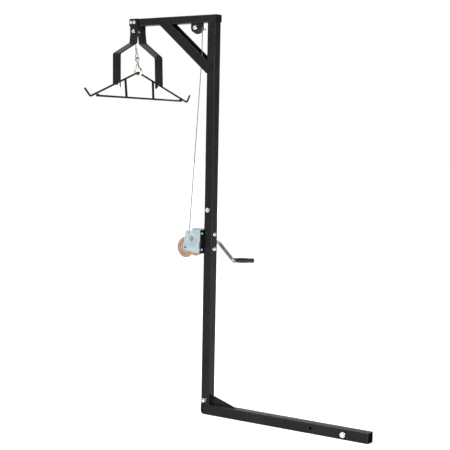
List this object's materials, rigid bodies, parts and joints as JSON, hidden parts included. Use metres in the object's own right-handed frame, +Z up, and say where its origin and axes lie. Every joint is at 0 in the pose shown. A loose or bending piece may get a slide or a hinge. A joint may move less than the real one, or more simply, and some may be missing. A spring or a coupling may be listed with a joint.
{
  "type": "gambrel hoist kit",
  "caption": "Hitch-mounted swivelling hoist mast with an overhead arm, hand winch, wire cable and a triangular gambrel spreader bar.",
  "frame": {"origin": "on the underside of the base tube, on the mast's swivel axis", "axes": "+Z up the mast, +X along the base tube towards its open hitch end, the arm points to -X, the gambrel lies along Y"},
  "size_m": [1.452, 0.8634, 1.996],
  "materials": {
    "powder_coat": "semi-gloss black powder coat",
    "zinc": "bright zinc plate",
    "yellow_zinc": "yellow chromate zinc plate",
    "steel": "plain steel",
    "wire_rope": "galvanised stranded wire",
    "brass": "oiled bushing",
    "black_plastic": "moulded black",
    "nylon": "turned nylon"
  },
  "bodies": {
    "base": {"base_tube": "powder_coat", "base_end_cap": "black_plastic", "base_socket": "powder_coat", "base_gusset": "powder_coat", "hitch_bolt": "zinc", "mast_pin": "zinc", "pin_clip": "zinc"},
    "mast": {"swivel_spigot": "steel", "mast_lower_tube": "powder_coat", "mast_upper_tube": "powder_coat", "joint_sleeve": "steel", "joint_bolt": "zinc", "arm_tube": "powder_coat", "arm_rear_cap": "black_plastic", "arm_nose_cap": "black_plastic", "arm_brace": "powder_coat", "pulley_plate_near": "powder_coat", "pulley_plate_far": "powder_coat", "rear_axle_bolt": "zinc", "yoke_bar_near": "powder_coat", "yoke_bar_far": "powder_coat", "yoke_bolt_front_near": "zinc", "yoke_bolt_front_far": "zinc", "yoke_bolt_axle": "zinc", "yoke_bolt_lower": "zinc", "winch_mount_plate": "powder_coat", "winch_back_plate": "zinc", "winch_side_near": "zinc", "winch_side_far": "zinc", "mast_bolt_upper": "zinc", "mast_bolt_lower": "zinc", "winch_bolt_upper": "zinc", "winch_bolt_lower": "zinc", "drum_shaft": "steel", "drive_bush_near": "brass", "drive_bush_far": "brass", "pawl_pin": "zinc", "cable_run": "wire_rope", "cable_drop": "wire_rope"},
    "rear_pulley": {"rear_sheave": "nylon"},
    "front_pulley": {"front_sheave": "nylon"},
    "drum_set": {"drum": "yellow_zinc", "drum_gear": "yellow_zinc", "cable_on_drum": "wire_rope"},
    "crank": {"drive_shaft": "steel", "pinion": "steel", "ratchet_wheel": "steel", "crank_arm": "zinc", "crank_nut": "zinc", "grip_stud": "zinc"},
    "grip_tube": {"grip": "black_plastic"},
    "pawl_lever": {"pawl": "zinc"},
    "lift": {"cable_ferrule": "steel", "cable_loop": "wire_rope", "hook_body": "zinc", "gambrel_main_rod": "powder_coat", "gambrel_cross_rod": "powder_coat", "gambrel_strut_near": "powder_coat", "gambrel_strut_far": "powder_coat"},
    "latch": {"hook_latch": "zinc"}
  },
  "joints": [
    {"name": "mast_swivel", "type": "hinge", "parent": "base", "child": "mast", "pos_m": [0, 0, 0.1022], "axis": [0, 0, 1], "continuous": true},
    {"name": "crank_spin", "type": "hinge", "parent": "mast", "child": "crank", "pos_m": [-0.08227, 0, 0.88483], "axis": [0, -1, 0], "range_deg": [0, 12089]},
    {"name": "drum_spin", "type": "hinge", "parent": "mast", "child": "drum_set", "pos_m": [-0.121, 0, 0.839], "axis": [0, 1, 0], "range_deg": [0, 3032]},
    {"name": "lift_slide", "type": "slide", "parent": "mast", "child": "lift", "axis": [0, 0, -1], "range_m": [0, 1.454], "deforming": ["cable_drop"]},
    {"name": "rear_sheave_spin", "type": "hinge", "parent": "mast", "child": "rear_pulley", "pos_m": [-0.1, 0, 1.9345], "axis": [0, -1, 0], "range_deg": [0, 3000]},
    {"name": "front_sheave_spin", "type": "hinge", "parent": "mast", "child": "front_pulley", "pos_m": [-0.4865, 0, 1.9772], "axis": [0, -1, 0], "range_deg": [0, 5947]},
    {"name": "grip_spin", "type": "hinge", "parent": "crank", "child": "grip_tube", "pos_m": [0.05353, 0.125, 0.77288], "axis": [0.094, 0.9925, -0.0775], "continuous": true},
    {"name": "pawl_swing", "type": "hinge", "parent": "mast", "child": "pawl_lever", "pos_m": [-0.05427, 0.058, 0.91033], "axis": [0, 1, 0], "range_deg": [0, 30]},
    {"name": "latch_open", "type": "hinge", "parent": "lift", "child": "latch", "pos_m": [-0.49119, -0.00142, 1.77096], "axis": [0.3067, -0.9511, 0.0377], "range_deg": [0, 20], "stiffness_Nm_per_rad": 0.05, "springref_deg": -11.46}
  ],
  "couplings": [
    {"joint": "drum_spin", "follows": "crank_spin", "ratio": 0.25},
    {"joint": "lift_slide", "follows": "crank_spin", "m_per_rad": 0.006875},
    {"joint": "rear_sheave_spin", "follows": "crank_spin", "ratio": 0.2473},
    {"joint": "front_sheave_spin", "follows": "crank_spin", "ratio": 0.49107}
  ]
}
